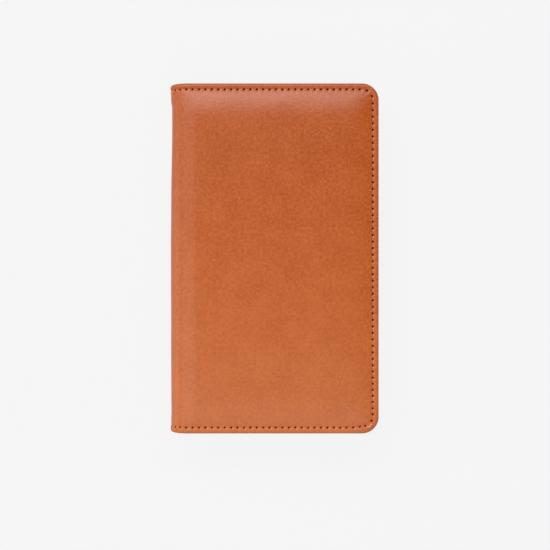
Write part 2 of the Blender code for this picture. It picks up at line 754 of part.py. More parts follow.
def add_lever(binder, name, end):
    """An end lever of three joined pieces, bored for its pin, and the pin."""
    body = name + "_lever"
    pieces = []
    for bm in lever_pieces():
        if end < 0:
            bmesh.ops.scale(bm, vec=(1, -1, 1), verts=bm.verts)
            bmesh.ops.reverse_faces(bm, faces=bm.faces)
        bmesh.ops.translate(bm, vec=BODY_ORIGINS[body], verts=bm.verts)
        pieces.append(bm)
    lever = binder.add(f"lever_{name}", pieces[0], body, "nickel")
    for number, bm in enumerate(pieces[1:], 1):
        mesh = finished(f"lever_{name}_piece_{number}", bm)
        joined = bpy.data.objects.new(mesh.name, mesh)
        joined.hide_render = True
        joined.display_type = "WIRE"
        binder.cutters.objects.link(joined)
        union = lever.modifiers.new(f"join_{number}", "BOOLEAN")
        union.operation = "UNION"
        union.solver = "EXACT"
        union.object = joined
    pin = BODY_ORIGINS[body]
    bore = bmesh.new()
    reach = Vector((0, 0, LEVER_WIDTH / 2 + CUT_PAST))
    rod(bore, pin - reach, pin + reach, LEVER_PIN / 2 + FIT)
    binder.cut(lever, bore)
    bm = bmesh.new()
    reach = Vector((0, 0, HOUSING_WIDTH / 2 + FIT))
    rod(bm, pin - reach, pin + reach, LEVER_PIN / 2)
    binder.add(f"lever_pin_{name}", bm, "spine", "nickel")


def build():
    binder = Binder()
    add_cover(binder, "back")
    add_spine(binder)
    add_cover(binder, "front")
    add_pockets(binder)
    add_housing(binder)
    add_rivets(binder)
    add_ring_blade(binder, "front", 1)
    add_ring_blade(binder, "back", -1)
    add_lever(binder, "top", 1)
    add_lever(binder, "bottom", -1)


build()
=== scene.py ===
"""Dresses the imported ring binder: padded leather case, linings, pockets, sewing and ring mechanism.

X runs from the spine to the fore-edge, Y along the spine to the head, and Z from the back cover up to the
front cover. Lengths are in metres. The case is worked out as it was cut: on a flat blank whose girth runs
from the middle of the spine to the fore-edge, which is then bound round the spine.
"""

import math
from functools import partial

import bmesh
import bpy
import numpy as np
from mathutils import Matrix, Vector


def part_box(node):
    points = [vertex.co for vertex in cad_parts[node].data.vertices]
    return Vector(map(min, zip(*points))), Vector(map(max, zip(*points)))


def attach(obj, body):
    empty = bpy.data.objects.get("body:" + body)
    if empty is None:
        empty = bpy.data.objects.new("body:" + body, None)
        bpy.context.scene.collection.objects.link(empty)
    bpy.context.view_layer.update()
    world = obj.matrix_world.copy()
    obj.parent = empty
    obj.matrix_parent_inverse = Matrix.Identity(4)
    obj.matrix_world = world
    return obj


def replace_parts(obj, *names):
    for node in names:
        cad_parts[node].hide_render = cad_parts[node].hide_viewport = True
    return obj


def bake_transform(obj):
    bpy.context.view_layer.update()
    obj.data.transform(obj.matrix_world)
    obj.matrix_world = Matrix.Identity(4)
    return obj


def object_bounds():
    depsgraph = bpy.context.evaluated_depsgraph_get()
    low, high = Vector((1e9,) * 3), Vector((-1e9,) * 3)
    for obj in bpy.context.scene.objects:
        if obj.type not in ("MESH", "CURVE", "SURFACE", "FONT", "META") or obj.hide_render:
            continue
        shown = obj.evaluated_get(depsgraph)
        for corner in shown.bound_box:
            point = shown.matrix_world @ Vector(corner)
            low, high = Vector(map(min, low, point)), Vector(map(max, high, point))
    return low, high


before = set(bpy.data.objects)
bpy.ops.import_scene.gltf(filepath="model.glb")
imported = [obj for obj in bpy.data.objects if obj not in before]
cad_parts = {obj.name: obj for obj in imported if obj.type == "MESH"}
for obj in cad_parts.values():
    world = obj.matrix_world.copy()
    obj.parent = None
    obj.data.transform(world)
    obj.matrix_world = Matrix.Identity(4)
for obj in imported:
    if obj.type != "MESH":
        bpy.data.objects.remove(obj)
CAD_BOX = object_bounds()
MM = 0.001
QUARTER = math.pi / 2

# The binder's own sizes
SPINE_FACE = CAD_BOX[0].x
FORE_EDGE, HEAD, THICKNESS = CAD_BOX[1]
MIDDLE = THICKNESS / 2
CORNER_RADIUS = 9.1 * MM  # of the leather at the fore-edge
FIELD_RADIUS = 3 * MM  # least corner radius of the padded field
EDGE_DROP = 1.7 * MM  # leather at the seam, below the crown of the pad
SPINE_RADIUS = 7.5 * MM
SPINE_DRAW = 0.0035  # share of their height by which the spine's ends are drawn in
HINGE_GUTTER = 4.9 * MM  # plain leather between the spine's round and the board

# The flat blank, by girth from the middle of the spine
FLAT = MIDDLE - EDGE_DROP - SPINE_RADIUS  # end of the spine's flat face
ROUND = FLAT + SPINE_RADIUS * QUARTER  # end of the spine's round
HINGE = ROUND + HINGE_GUTTER  # edge of the board
GIRTH = ROUND + FORE_EDGE - SPINE_FACE - SPINE_RADIUS  # fore-edge
SPINE_STRIP = 26 * MM  # girth that is netted straight across

# Leather
EDGE_ROLL = 1.7 * MM  # width of the turned edge's round
EDGE_RISE = 0.85 * MM  # its height
EDGE_WALL = 1.6 * MM  # leather between that round and the next
TURN_UNDER = 0.7 * MM  # radius of the round where the leather turns in under the board
VALLEY = 0.44 * MM  # depth of the seam below the cover's rim
VALLEY_LIP = 1.65 * MM  # inset at which the seam's valley begins
PAD_SLOPE = 16.5 * MM  # width of the pad's rise from the seam
FIELD_BLUNT = 6.7 * MM  # rounding of the padded field's corners
HINGE_FOOT = 4.5 * MM  # how far down the spine's round its rise begins on the hinge side
HINGE_SHOULDER = 0.9 * MM  # how far its shoulder there lies past the board's edge
HINGE_BLUNT = 0.13  # share of that rise which its shoulder rounds off
CASE_DEPTH = 3.85 * MM  # leather's outer face to the back of its turn-in, at the seam
HEM_DEPTH = 1.4 * MM  # the same at the hinge, where there is no board
SPINE_DEPTH = 2.88 * MM  # the same at the spine, round its stiffener
WAVER = 0.03 * MM  # unevenness of hand-laid leather
WAVER_SINK = 3  # its middle lies this many times as far below the plain pad
# Turns of a wave, in radians for each metre of girth and of y, then its phase and its weight
WAVES = ((150, 61, 0.6, 1.0), (-83, 118, 2.1, 1.0), (260, 190, 4.0, 0.7), (-205, 245, 1.0, 0.7))

# Where pieces are cut from the hide, in metres through its grain, so that their grain differs
BACK_CUT = 0.1
LINING_CUT = 0.2
PANEL_CUTS = 0.3, 0.4  # face and back

# Seam round the head, fore-edge and tail
SEAM = 3.25 * MM  # from the cover's edge
SEAM_STRAIGHT = GIRTH - CORNER_RADIUS
SEAM_CORNER = (CORNER_RADIUS - SEAM) * QUARTER
SEAM_SIDE = 2 * (HEAD - CORNER_RADIUS)
SEAM_LENGTH = 2 * (SEAM_STRAIGHT + SEAM_CORNER) + SEAM_SIDE
PITCH = 3.5 * MM  # a stitch, about
HOLE = 0.5 * MM  # radius of a needle hole
HOLE_DEPTH = 0.34 * MM
HOLE_SHADE = 0.71 * MM  # radius of its painted shade, over the hole and the leather round it
FULL_DARK = 0.62  # share of that radius where the painted shade is full
DIMPLE = 0.95 * MM  # radius of the leather drawn in round it
DIMPLE_DEPTH = 0.2 * MM
PUCKER = 0.06 * MM  # height of the leather drawn up between holes

# Needle holes are whole numbers of stitches: even along the head and tail, and wider round the corners. Along
# the fore-edge they are wide at first and closer before the tail corner, where the needle strayed inwards
FIRST, LAST = -0.625, 118.625  # at the middle of the spine
STITCH_MARKS = np.array([FIRST, 32, 35, 59, 75, 83, 84, 85, 86, 87, LAST])
FROM_HEAD = np.array([0, 113.7, 126, 211.6]) * MM
FROM_TAIL = np.array([152, 125.5, 122.0, 117.0, 113.9, 110.2, 0]) * MM
SEAM_MARKS = np.append(FROM_HEAD, SEAM_LENGTH - FROM_TAIL)
HEAD_STITCHES = 33  # from the spine into the head corner
LOOSE_STITCH = 84  # at the front cover's tail corner
STRAY = 0.72 * MM
STRAY_MIDDLE, STRAY_SPAN = 85.35, 1.25  # in stitches

# The net of the case
STITCH_STEPS = 16  # columns to a stitch
COLUMNS = np.arange(round((LAST - FIRST) * STITCH_STEPS) + 1)
SPINE_STITCHES = 8  # at each end, round the spine

# Thread
THREAD = 0.27 * MM  # radius
THREAD_SIDES = 6
THREAD_FLAT = 0.85  # its height as a share of its width
PLIES = 3
TWISTS = 9  # of the plies in a stitch
NEAR_HOLE = np.array([0.015, 0.08, 0.14, 0.19, 0.24, 0.29, 0.36, 0.43])
STITCH_SHARES = np.concatenate([NEAR_HOLE, [0.5], 1 - NEAR_HOLE[::-1]])  # places along a stitch
STITCH_BED = -1.4 * MM  # its ends in their holes, from the level of the seam
STITCH_CROWN = 0.18 * MM  # above the seam's valley
STITCH_SINK = 0.42 * MM  # of its thin end into the leather
SINK_FROM, SINK_TO = 0.34, 0.56  # shares of the stitch over which it sinks
STITCH_SWELL = 0.13 * MM  # added to its radius at its thick end
SWELL_MIDDLE, SWELL_SPAN = 0.3, 0.18  # shares of the stitch
HEAD_ASIDE, ASIDE = 0.6 * MM, -0.5 * MM  # thick end inwards from the seam's line, at the head and elsewhere
LOOSE_BOW = 1.0 * MM
INNER_BED, INNER_CROWN = 0.1 * MM, 0.53 * MM  # of a stitch on the lining, from the lining's back

# Linings and pockets
LINING_INSET = 2.5 * MM
LINING = 0.5 * MM  # thickness
GLUE = 0.02 * MM
PANEL = 0.72 * MM  # a pocket's leather with its turned hem
PANEL_STEP = 2.5 * MM  # of its net
PANEL_SWELL = 0.18 * MM  # slack in its middle
PANEL_BOW = 0.45 * MM  # slack at its mouth
HEM_STITCH = 2.6 * MM  # from its mouth
HEM_GROOVE = 0.07 * MM  # depth to which the hem's stitches draw it in
HEM_ENDS = 0.03, 0.97  # of the hem's stitches, as shares of its width
POCKET_PITCH = 3.0 * MM
POCKET_THREAD = 0.85 * THREAD
POCKET_SIDE = 0.022  # side stitches from its edge, as a share of its width
CARD_CLEAR = 0.012  # side stitches above the next pocket, as a share of its height
CARD_FOOT = 0.03  # foot stitches of the lower card pocket from its edge, as a share of its height
SLIP_FOOT = 0.018  # the same of the slip pocket

# Ring mechanism
RING_RADIUS = 6.5 * MM  # to the middle of the wire
RING_FOOT = 3.7 * MM  # from the binder's middle to where the wire meets the blade
FOOT_SUNK = 0.195 * MM  # wire past that
TIP_GAP = 0.12 * MM  # of a tip from the plane where the rings part
TIP_EASE = 0.03  # share of the arc over which a tip is rounded
TIP_BLUNT = 0.62  # its flat end, as a share of the wire
FOOT_SPREAD = 0.12  # added to the wire at its foot, as a share of it
WIRE_STEPS, WIRE_SIDES = 44, 20
RIVET_DOME = 0.62 * MM
RIVET_RIM = 0.75 * MM  # lower edge of the head's rim, below the top of the dome
RIVET_HEAD = 0.9 * MM  # height of the whole head
RIVET_EASE = 0.08 * MM
RIVET_SHANK = 1.2 * MM  # radius
RIVET_FOOT = 2.2 * MM  # radius
RIVET_FOOT_HEIGHT = 0.6 * MM
RIVET_SIDES = 40


class Value:
    """A value on its way through a material's nodes: arithmetic on it adds Math nodes."""

    def __init__(self, tree, socket=None):
        self.tree = tree
        self.socket = socket

    def plug(self, node, sockets):
        """Sets a node's sockets to plain values, or links them."""
        for name, value in sockets.items():
            if isinstance(value, Value):
                self.tree.links.new(value.socket, node.inputs[name])
            else:
                node.inputs[name].default_value = value

    def node(self, kind, settings=None, sockets=None, out=0):
        """Adds a node with its settings, then the values or links of its sockets, and gives an output."""
        made = self.tree.nodes.new("ShaderNode" + kind)
        for name, setting in (settings or {}).items():
            setattr(made, name, setting)
        self.plug(made, sockets or {})
        return Value(self.tree, made.outputs[out])

    def math(self, operation, *others):
        """A Math node on this value and others."""
        return self.node("Math", {"operation": operation}, dict(enumerate((self, *others))))

    def __add__(self, other):
        return self.math("ADD", other)

    def __radd__(self, other):
        return self.math("ADD", other)

    def __sub__(self, other):
        return self.math("SUBTRACT", other)

    def __rsub__(self, other):
        return self.node("Math", {"operation": "SUBTRACT"}, {0: other, 1: self})

    def __mul__(self, other):
        return self.math("MULTIPLY", other)

    def __rmul__(self, other):
        return self.math("MULTIPLY", other)

    def step(self, low, high):
        """Rises smoothly from 0 at low to 1 at high."""
        sockets = {"Value": self, "From Min": low, "From Max": high}
        return self.node("MapRange", {"interpolation_type": "SMOOTHSTEP"}, sockets)

    def mixed(self, *colours):
        """One colour where this value is 0 and another where it is 1."""
        first, last = (colour if isinstance(colour, Value) else (*colour, 1) for colour in colours)
        return self.node("Mix", {"data_type": "RGBA"}, {"Factor": self, 6: first, 7: last}, 2)

    def split(self):
        """The three numbers of a vector."""
        first = self.node("SeparateXYZ", None, {"Vector": self})
        return [Value(self.tree, socket) for socket in first.socket.node.outputs]

    def noise(self, size, detail=2.0, roughness=0.5):
        """Cloudy noise whose features are about as wide as size, between about 0 and 1."""
        sockets = {"Vector": self, "Scale": 1 / size, "Detail": detail, "Roughness": roughness}
        return self.node("TexNoise", None, sockets)

    def cells(self, size, feature="F1"):
        """Distance from the middle of pebbles about as wide as size, or by feature from their edges."""
        return self.node("TexVoronoi", {"feature": feature}, {"Vector": self, "Scale": 1 / size})

    def bump(self, depth):
        """A normal for relief of this height, where 1 stands depth proud."""
        return self.node("Bump", None, {"Height": self, "Distance": depth})


def finish_of(name, coordinates):
    """A new material, its shader and what its pattern reads: a named attribute, or Object coordinates."""
    material = bpy.data.materials.new(name)
    material.use_nodes = True
    start = Value(material.node_tree)
    if coordinates == "Object":
        place = start.node("TexCoord", None, None, "Object")
    else:
        place = start.node("Attribute", {"attribute_name": coordinates}, None, "Vector")
    return material, material.node_tree.nodes["Principled BSDF"], place


def needle_holes(stitch, across, radius):
    """Mask of a needle hole's painted shade: 1 in the hole, fading to 0 at its radius; holes lie at whole
    stitches on the seam's line.
    """
    off = ((stitch + 0.5).math("FRACT") - 0.5) * PITCH
    far = (off * off + across * across).math("SQRT")
    return 1 - far.step(FULL_DARK * radius, radius)


def leather_finish(name, deep, pale, rough, holes, nap):
    """Dyed leather: cloudy dye between two tones, with a pebbled and creased grain, and painted light that
    makes it paler towards the tail.

    holes is the radius of a needle hole's painted shade, or 0 where none are sewn. With holes the leather
    also has a darker edge, and a duller groove between its rim and the seam, placed by their distance inwards
    from the seam's line. nap from 0 to 1 trades the pebbled grain of smooth leather for the fine tooth of a
    split.
    """
    material, shader, blank = finish_of(name, "blank")
    cloud = blank.noise(16 * MM, 3.0, 0.55)
    mottle = blank.noise(1.7 * MM, 5.0, 0.72)
    tooth = blank.noise(0.35 * MM, 2.0)
    pebbles = blank.cells(1.15 * MM)
    creases = blank.cells(2.1 * MM, "DISTANCE_TO_EDGE")
    # painted light: the tone grows paler towards the tail and deeper towards the head, by y
    painted_tail_light = 0.5 - blank.split()[1] * 4.4
    tone = cloud.step(0.3, 0.7) * 0.12 + mottle.step(0.3, 0.7) * 0.34 + tooth * 0.12 + painted_tail_light * 0.42
    colour = tone.step(0.1, 0.9).mixed(deep, pale)
    dark = 0.0
    if holes:
        stitch, across, _ = blank.node("Attribute", {"attribute_name": "sewing"}, None, "Vector").split()
        # painted shade: needle holes are coloured near black and made metallic so they have no sheen, in
        # place of the shade down in them
        dark = needle_holes(stitch, across, holes)
        # a darker tone towards the cut edge, over the rim's roll and wall
        rim = 1 - across.step(-3.2 * MM, -2.2 * MM)
        groove = across.step(-2.3 * MM, -1.7 * MM) * (1 - across.step(-0.6 * MM, 0.0))
        darker_edge_tone = tuple(0.55 * part for part in deep)
        colour = (rim * 0.35).mixed(colour, darker_edge_tone)
        colour = (dark * 0.96).mixed(colour, PAINTED_HOLE_SHADE)
        rough = rough + dark * 0.5 + groove * 0.16
    grain = pebbles * 0.5 + creases.step(0.0, 0.2) * 0.35
    relief = grain * (1 - nap) + tooth * (0.2 + 0.5 * nap)
    sockets = {
        "Base Color": colour,
        "Metallic": dark,
        "Roughness": rough - 0.05 + mottle * 0.24 - pebbles * 0.06,
        "Normal": relief.bump(0.045 * MM),
        "Specular IOR Level": 0.5 - 0.35 * nap,
    }
    blank.plug(shader, sockets)
    return material


def thread_finish(name, dark, pale):
    """Waxed thread: plies twisted round each other, with painted light on their crowns and painted shade
    where they meet.

    A stitch's ends, down in their holes, get painted shade and no sheen.
    """
    material, shader, twist = finish_of(name, "twist")
    turn, run_on, _ = twist.split()
    plies = ((turn * PLIES + run_on * TWISTS) * math.tau).math("SINE") * 0.5 + 0.5
    fuzz = twist.noise(0.09, 2.0)
    # painted light and shade of the plies: pale crowns and dark lines where they meet, with some random fuzz
    tone = plies * 0.7 + fuzz * 0.3
    # painted shade on each stitch's ends, down in their holes, with no sheen there
    shade = (run_on - 0.5).math("ABSOLUTE").step(0.35, 0.44)
    sockets = {
        "Base Color": shade.mixed(tone.step(0.1, 0.9).mixed(dark, pale), PAINTED_STITCH_END_SHADE),
        "Metallic": shade,
        "Roughness": 0.5 - plies * 0.12 + shade * 0.3,
        "Specular IOR Level": 0.5,
        "Normal": tone.bump(0.05 * MM),
    }
    twist.plug(shader, sockets)
    return material


def nickel_finish(name, colour, rough):
    """Plated steel: satin, with rolling marks along the spine and a faint bloom."""
    material, shader, place = finish_of(name, "Object")
    squeezed = place.node("Mapping", None, {"Vector": place, "Scale": (1, 0.04, 1)})
    marks = squeezed.noise(0.25 * MM, 3.0, 0.6)
    bloom = place.noise(7 * MM, 2.0)
    dulled = tuple(0.93 * part for part in colour)
    sockets = {
        "Base Color": bloom.step(0.3, 0.7).mixed(colour, dulled),
        "Metallic": 1.0,
        "Roughness": rough + marks * 0.1 + bloom * 0.06,
        "Normal": marks.bump(0.004 * MM),
    }
    place.plug(shader, sockets)
    return material


def board_finish(name, colour, flecks):
    """Grey board: matt, with fine flecks."""
    material, shader, place = finish_of(name, "Object")
    fleck = place.noise(0.8 * MM, 4.0, 0.7)
    sockets = {
        "Base Color": fleck.step(0.35, 0.7).mixed(colour, flecks),
        "Roughness": 0.9,
        "Normal": fleck.bump(0.05 * MM),
    }
    place.plug(shader, sockets)
    return material


# painted shade: the colours of the needle holes and of the stitches' ends down in them
PAINTED_HOLE_SHADE = (0.22, 0.009, 0.0003)
PAINTED_STITCH_END_SHADE = (0.16, 0.007, 0.0003)
TAN = leather_finish("tan_leather", (0.41, 0.069, 0.0045), (0.585, 0.146, 0.03), 0.33, HOLE_SHADE, 0.0)
LINING_LEATHER = leather_finish("lining_leather", (0.33, 0.085, 0.026), (0.46, 0.132, 0.048), 0.58, 0.0, 0.75)
THREAD_FINISH = thread_finish("tan_thread", (0.58, 0.18, 0.065), (0.88, 0.36, 0.15))
NICKEL = nickel_finish("nickel", (0.52, 0.505, 0.475), 0.38)
BOARD = board_finish("grey_board", (0.34, 0.30, 0.24), (0.42, 0.38, 0.31))


def smooth(value, low, high):
    """Rises from 0 at low to 1 at high along an S-shaped cubic."""
    share = np.clip((value - low) / (high - low), 0, 1)
    return share * share * (3 - 2 * share)


def least(value, other, blunt):
    """The lesser of two values, with the corner where they cross rounded off over a blunt span."""
    near = np.clip(0.5 + (value - other) / (2 * blunt), 0, 1)
    return value + (other - value) * near - blunt * near * (1 - near)


def bell(value, middle, width):
    """A bell curve, 1 at its middle."""
    return np.exp(-(((value - middle) / width) ** 2))


def course(along, inset):
    """Girth and y of a line round the head, fore-edge and tail of the blank, at an inset from its edge.

    along is measured on the seam, from the middle of the spine at the head. The tail half mirrors the head
    half. A point keeps its share of its straight, corner or side at every inset; corners are concentric arcs
    until they reach the padded field's radius, which shrinks to nothing at mid-height.
    """
    along, inset = np.broadcast_arrays(np.asarray(along, float), np.asarray(inset, float))
    half = np.minimum(along, SEAM_LENGTH - along)
    radius = np.minimum(np.maximum(CORNER_RADIUS - inset, FIELD_RADIUS), HEAD - inset)
    turn_girth = GIRTH - inset - radius
    turn_y = HEAD - inset - radius
    slant = (turn_girth - SPINE_STRIP) / (SEAM_STRAIGHT - SPINE_STRIP)
    straight = np.minimum(half, SPINE_STRIP) + np.maximum(half - SPINE_STRIP, 0) * slant
    angle = np.clip((half - SEAM_STRAIGHT) / SEAM_CORNER, 0, 1) * QUARTER
    side = np.clip((half - SEAM_STRAIGHT - SEAM_CORNER) / (SEAM_SIDE / 2), 0, 1)
    girth = np.where(half < SEAM_STRAIGHT, straight, turn_girth + radius * np.sin(angle))
    y = (turn_y + radius * np.cos(angle)) * (1 - side)
    return girth, np.where(along > SEAM_LENGTH / 2, -y, y)


def bound(girth, y, lift):
    """The blank laid round the front half of the case: up the spine, round a quarter circle, then level.

    lift is measured along the outward normal from the level of the seam. The spine's ends are drawn in.
    """
    y = y * (1 - SPINE_DRAW * (1 - smooth(girth, FLAT, ROUND + 4 * MM)))
    turn = np.clip((girth - FLAT) / SPINE_RADIUS, 0, QUARTER)
    reach = SPINE_RADIUS + lift
    x = SPINE_FACE + SPINE_RADIUS + np.maximum(girth - ROUND, 0) - reach * np.cos(turn)
    z = MIDDLE + np.minimum(girth, FLAT) + reach * np.sin(turn)
    return np.stack(np.broadcast_arrays(x, y, z), -1)


def on_half(points, back):
    """Points of the front half of the case as they are, or mirrored on its back half."""
    return points * (1, 1, -1) + (0, 0, THICKNESS) if back else points


def depth_of_case(girth):
    """Depth of the case's inner face: round the stiffener, thin at the hinge, and over the board."""
    hem = SPINE_DEPTH + (HEM_DEPTH - SPINE_DEPTH) * smooth(girth, FLAT + 1 * MM, FLAT + 8 * MM)
    return hem + (CASE_DEPTH - HEM_DEPTH) * smooth(girth, HINGE - 1.6 * MM, HINGE + 0.8 * MM)


def swell(girth, y):
    """Share of the pad's rise from the seam, 1 on the crown, and its share from the hinge.

    From the seam it is a parabola that flattens out at the crown, over the distance to the head, tail and
    fore-edge with the corners rounded off. From the hinge it is a straight ramp with a soft shoulder over the
    board's edge.
    """
    inside = least(GIRTH - girth, HEAD - np.abs(y), FIELD_BLUNT)
    edge = 1 - (1 - np.clip((inside - SEAM) / PAD_SLOPE, 0, 1)) ** 2
    foot, shoulder = ROUND - HINGE_FOOT, HINGE + HINGE_SHOULDER
    hinge = least((girth - foot) / (shoulder - foot), 1.0, HINGE_BLUNT)
    return edge, np.clip(hinge, 0, 1)


def waver(girth, y):
    """Slow unevenness of hand-laid leather: a sum of crossed sine waves."""
    waves = sum(weight * np.sin(girth * over + y * up + phase) for over, up, phase, weight in WAVES)
    return WAVER * (waves - WAVER_SINK)


def spine_sway(girth, y):
    """The spine's face isn't straight: full at mid-height, drawn in below the head and flared at its ends."""
    full = 0.25 * MM * np.cos(y * 15)
    drawn_in = 0.62 * MM * bell(y, 70 * MM, 24 * MM)
    head_flare = 0.7 * MM * smooth(y, 82.5 * MM, 87 * MM)
    tail_flare = 0.3 * MM * smooth(-y, 85.5 * MM, 88 * MM)
    fading = 1 - smooth(girth, FLAT - 2 * MM, ROUND - 2 * MM)
    return (full - drawn_in + head_flare + tail_flare) * fading


def stray(stitch):
    """How far the needle strayed inwards from the seam's line: a bell curve over a few stitches."""
    return STRAY * bell(stitch, STRAY_MIDDLE, STRAY_SPAN)


def leather_lift(stitch, girth, y, inset):
    """Relief of the outer leather at an inset from its edge.

    It is the pad's rise, less the seam's valley and a hole and a dimple at each whole stitch. The spine's
    sway, the waver of the pad and the puckers are added; puckers lie on both sides of the seam and are
    highest halfway between holes.
    """
    off = (stitch + 0.5) % 1 - 0.5
    inset = inset - stray(stitch)
    edge, hinge = swell(girth, y)
    valley = np.where(inset < SEAM, smooth(inset, VALLEY_LIP, SEAM), 1 - edge)
    lift = EDGE_DROP * edge * hinge - VALLEY * valley + spine_sway(girth, y)
    lift = lift + waver(girth, y) * smooth(inset, 4 * MM, 12 * MM)
    far = np.hypot(off * PITCH, inset - SEAM)
    lift = lift - HOLE_DEPTH * np.exp(-((far / HOLE) ** 4)) - DIMPLE_DEPTH * bell(far, 0, DIMPLE)
    pucker = bell(inset, SEAM + 1.5 * MM, 0.9 * MM) + 0.6 * bell(inset, SEAM - 1.3 * MM, 0.6 * MM)
    return lift - PUCKER * np.cos(off * math.tau) * pucker


def rolled_lift(stitch, girth, y, angle):
    """The turned edge: down from the rim along a quarter of an ellipse, by its angle."""
    return leather_lift(stitch, girth, y, EDGE_ROLL) - EDGE_RISE * (1 - math.cos(angle))


def turned_lift(stitch, girth, y, angle):
    """The turn-in under the board, by its angle: a quarter circle down to the case's inner face."""
    return TURN_UNDER * (1 - math.sin(angle)) - depth_of_case(girth)


def lining_lift(stitch, girth, y, rise):
    """A lining at a rise from its glued back, which follows the case's inner face."""
    return -depth_of_case(girth) - GLUE - rise


def thinned(level):
    """Columns of the net kept at a level: all, every second, fourth and so on; every fourth at the spine."""
    from_end = np.minimum(COLUMNS, COLUMNS[-1] - COLUMNS)
    spine = from_end <= SPINE_STITCHES * STITCH_STEPS
    return COLUMNS[(COLUMNS % 2**level == 0) | (spine & (COLUMNS % min(2**level, 4) == 0))]


def knit(low, low_columns, high, high_columns):
    """Faces between two rows of a net that start at points low and high; one may skip alternate columns."""
    if len(low_columns) < len(high_columns):
        return [face[::-1] for face in knit(high, high_columns, low, low_columns)]
    at = np.searchsorted(low_columns, high_columns)
    faces = []
    for gap in (1, 2):
        i = np.nonzero(np.diff(at) == gap)[0]
        near = low + at[i, None] + np.arange(gap + 1)
        far = high + i[:, None] + np.array([1, 0])
        faces += np.hstack([near, far]).tolist()
    return faces


def round_quads(index):
    """Quads of a tube's net: index numbers its points by ring and side, and the last side joins the first."""
    on = np.roll(index, -1, axis=-1)
    near, far = [index[..., :-1, :], on[..., :-1, :]], [on[..., 1:, :], index[..., 1:, :]]
    return np.stack(near + far, -1).reshape(-1, 4)


def closed_mesh(name, points, faces, attributes):
    """A mesh of these faces, doubles merged and faces turned outwards, with its point attributes."""
    mesh = bpy.data.meshes.new(name)
    mesh.from_pydata(points.tolist(), [], faces)
    for attribute, values in attributes.items():
        layer = mesh.attributes.new(attribute, "FLOAT_VECTOR", "POINT")
        layer.data.foreach_set("vector", np.ascontiguousarray(values, np.float32).ravel())
    bm = bmesh.new()
    bm.from_mesh(mesh)
    bmesh.ops.remove_doubles(bm, verts=bm.verts, dist=1e-6)
    bmesh.ops.dissolve_degenerate(bm, edges=bm.edges, dist=1e-7)
    bmesh.ops.recalc_face_normals(bm, faces=bm.faces)
    bm.to_mesh(mesh)
    bm.free()
    mesh.shade_smooth()
    mesh.set_sharp_from_angle(angle=math.radians(70))
    return mesh


def piece(name, mesh, material):
    """An object at the origin with its mesh, and its material in a slot of the mesh."""
    made = bpy.data.objects.new(name, mesh)
    mesh.materials.append(material)
    bpy.context.scene.collection.objects.link(made)
    return made


def half_case(name, rows, back, cut):
    """A closed net on the front half of the case, or mirrored on the back half.

    Each row has a thinning level, its inset, its lift as a function of stitch, girth and y, and how far it
    lies past the blank's edge. The ends at the middle of the spine are closed flat. On the line where head
    and tail meet, the points lie on whole millimetres, so that both sides share them.
    """
    points, blank, sewing, faces, starts, kept = [], [], [], [], [], []
    total = 0
    for level, inset, lift, past in rows:
        columns = thinned(level)
        stitch = FIRST + columns / STITCH_STEPS
        along = np.interp(stitch, STITCH_MARKS, SEAM_MARKS)
        girth, y = course(along, inset)
        if inset > HEAD - 0.1 * MM:
            girth = np.round(girth / MM) * MM
        points.append(bound(girth, y, lift(stitch, girth, y)))
        flat_girth, flat_y = course(along, inset if past is None else -past)
        blank.append(np.stack([flat_girth, flat_y, np.full_like(along, cut)], -1))
        sewing.append(np.stack([stitch, inset - SEAM - stray(stitch), 0 * along], -1))
        starts.append(total)
        kept.append(columns)
        total += len(columns)
    for i in range(len(rows) - 1):
        faces += knit(starts[i], kept[i], starts[i + 1], kept[i + 1])
    faces.append(starts)
    faces.append([start + len(columns) - 1 for start, columns in zip(starts, kept)][::-1])
    attributes = {"blank": np.concatenate(blank), "sewing": np.concatenate(sewing)}
    return closed_mesh(name, on_half(np.concatenate(points), back), faces, attributes)


def case_rows():
    """Rows of the leather from its crown to the edge, round the turned edge, and back under the board.

    Insets are in millimetres, grouped by how far their columns are thinned, and close together at the holes.
    """
    field = [HEAD / MM, 85, 76, 67, 58, 49, 41, 34, 28, 23, 19, 15.5, 12.5, 10]
    seam = [4.2, 3.97, 3.8, 3.66, 3.53, 3.39, 3.25, 3.11, 2.97, 2.84, 2.7, 2.55, 2.35]
    rim = [2.15, 1.98, 1.84, EDGE_ROLL / MM]
    groups = (4, field), (3, [8]), (2, [6.6]), (1, [5.5, 4.9, 4.5]), (0, seam), (1, rim)
    rows = []
    for level, insets in groups:
        rows += [(level, inset * MM, partial(leather_lift, inset=inset * MM), None) for inset in insets]
    roll_steps, under_steps = 7, 5
    for angle in QUARTER * np.arange(1, roll_steps + 1) / roll_steps:
        inset = EDGE_ROLL * (1 - math.sin(angle))
        rows.append((1, inset, partial(rolled_lift, angle=angle), EDGE_ROLL * (angle - 1)))
    wall_end = EDGE_ROLL * (QUARTER - 1) + EDGE_WALL
    for step in range(under_steps + 1):
        angle = QUARTER * step / under_steps
        inset = TURN_UNDER * (1 - math.cos(angle))
        rows.append((1 + step // 2, inset, partial(turned_lift, angle=angle), wall_end + TURN_UNDER * angle))
    inner = partial(turned_lift, angle=QUARTER)
    for inset in (2.0, 4.0, 12.0, 30.0, 60.0, HEAD / MM):
        rows.append((4, inset * MM, inner, wall_end + TURN_UNDER * QUARTER + inset * MM))
    return rows


